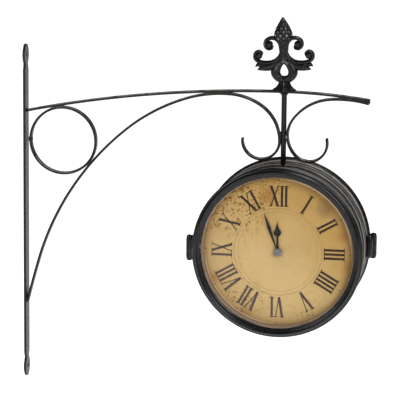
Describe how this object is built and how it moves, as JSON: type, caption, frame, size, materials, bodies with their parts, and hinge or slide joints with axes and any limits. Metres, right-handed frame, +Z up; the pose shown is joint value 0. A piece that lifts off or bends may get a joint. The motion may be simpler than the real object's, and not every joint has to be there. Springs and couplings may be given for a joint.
{
  "type": "double sided station clock",
  "caption": "Round twin-faced clock in a ribbed drum, hung from a scrolled wrought-iron wall bracket with ring, brace and cast finial; faces open on side hinges",
  "frame": {"origin": "middle of the wall bar's back face, midway between its two screw holes, in the bracket's middle plane", "axes": "+X out from the wall along the arm, +Z up, -Y towards the reader of the front dial"},
  "size_m": [0.4272, 0.0876, 0.455],
  "materials": {
    "black_plastic": "moulded black plastic",
    "board_green": "circuit board with copper coil",
    "brass": "turned brass",
    "case_iron": "satin charcoal enamel, lightly rubbed on the beads",
    "cast_iron": "black casting, bright on the raised work",
    "cell_wrap": "plain printed sleeve",
    "clear_glass": "clear flat glass",
    "dial_print": "aged parchment print, stained and foxed",
    "grey_cap": "grey metal cap",
    "hand_black": "matt black paint",
    "steel": "plain zinc-plated steel",
    "white_plastic": "natural gear plastic",
    "wrought_iron": "worn black enamel, rubbed to grey-brown on the edges"
  },
  "bodies": {
    "bracket": {"wall_bar": "wrought_iron", "ring": "wrought_iron", "top_bar": "wrought_iron", "brace_scroll": "wrought_iron", "outer_scroll": "wrought_iron", "hanger_rod": "wrought_iron", "finial": "cast_iron", "swivel_washer": "steel", "swivel_nuts": "steel"},
    "case": {"drum_shell": "case_iron", "saddle_plate": "case_iron", "front_case_leaf": "case_iron", "rear_case_leaf": "case_iron", "hinge_pins": "steel", "catches": "steel"},
    "front_door": {"front_bezel": "case_iron", "front_glass": "clear_glass", "front_dial": "dial_print", "front_dial_clips": "steel", "front_door_leaf": "case_iron", "front_movement_front": "black_plastic", "front_movement_back": "black_plastic", "front_step_motor": "board_green", "front_battery": "cell_wrap", "front_battery_contacts": "steel", "front_bush_nut": "brass"},
    "front_minute": {"front_minute_arbor": "white_plastic", "front_minute_hand": "hand_black", "front_hub_cap": "grey_cap"},
    "front_hour": {"front_hour_pipe": "white_plastic", "front_hour_hand": "hand_black"},
    "front_setting": {"front_setting_knob": "black_plastic"},
    "rear_door": {"rear_bezel": "case_iron", "rear_glass": "clear_glass", "rear_dial": "dial_print", "rear_dial_clips": "steel", "rear_door_leaf": "case_iron", "rear_movement_front": "black_plastic", "rear_movement_back": "black_plastic", "rear_step_motor": "board_green", "rear_battery": "cell_wrap", "rear_battery_contacts": "steel", "rear_bush_nut": "brass"},
    "rear_minute": {"rear_minute_arbor": "white_plastic", "rear_minute_hand": "hand_black", "rear_hub_cap": "grey_cap"},
    "rear_hour": {"rear_hour_pipe": "white_plastic", "rear_hour_hand": "hand_black"},
    "rear_setting": {"rear_setting_knob": "black_plastic"}
  },
  "joints": [
    {"name": "case_swivel", "type": "hinge", "parent": "bracket", "child": "case", "pos_m": [0.3164, 0, 0.06253], "axis": [0, 0, 1], "continuous": true},
    {"name": "front_door_hinge", "type": "hinge", "parent": "case", "child": "front_door", "pos_m": [0.2095, -0.03, -0.02747], "axis": [0, 0, -1], "range_deg": [0, 110]},
    {"name": "front_minute_turn", "type": "hinge", "parent": "front_door", "child": "front_minute", "pos_m": [0.3164, -0.03, -0.02747], "axis": [0, 1, 0], "continuous": true},
    {"name": "front_hour_turn", "type": "hinge", "parent": "front_door", "child": "front_hour", "pos_m": [0.3164, -0.03, -0.02747], "axis": [0, 1, 0], "continuous": true},
    {"name": "front_setting_turn", "type": "hinge", "parent": "front_door", "child": "front_setting", "pos_m": [0.3164, -0.03, -0.01787], "axis": [0, 1, 0], "continuous": true},
    {"name": "rear_door_hinge", "type": "hinge", "parent": "case", "child": "rear_door", "pos_m": [0.4233, 0.03, -0.02747], "axis": [0, 0, -1], "range_deg": [0, 110]},
    {"name": "rear_minute_turn", "type": "hinge", "parent": "rear_door", "child": "rear_minute", "pos_m": [0.3164, 0.03, -0.02747], "axis": [0, -1, 0], "continuous": true},
    {"name": "rear_hour_turn", "type": "hinge", "parent": "rear_door", "child": "rear_hour", "pos_m": [0.3164, 0.03, -0.02747], "axis": [0, -1, 0], "continuous": true},
    {"name": "rear_setting_turn", "type": "hinge", "parent": "rear_door", "child": "rear_setting", "pos_m": [0.3164, 0.03, -0.01787], "axis": [0, -1, 0], "continuous": true}
  ],
  "couplings": [
    {"joint": "front_hour_turn", "follows": "front_minute_turn", "ratio": 0.083333},
    {"joint": "front_setting_turn", "follows": "front_minute_turn", "ratio": -0.33333},
    {"joint": "rear_hour_turn", "follows": "rear_minute_turn", "ratio": 0.083333},
    {"joint": "rear_setting_turn", "follows": "rear_minute_turn", "ratio": -0.33333}
  ]
}
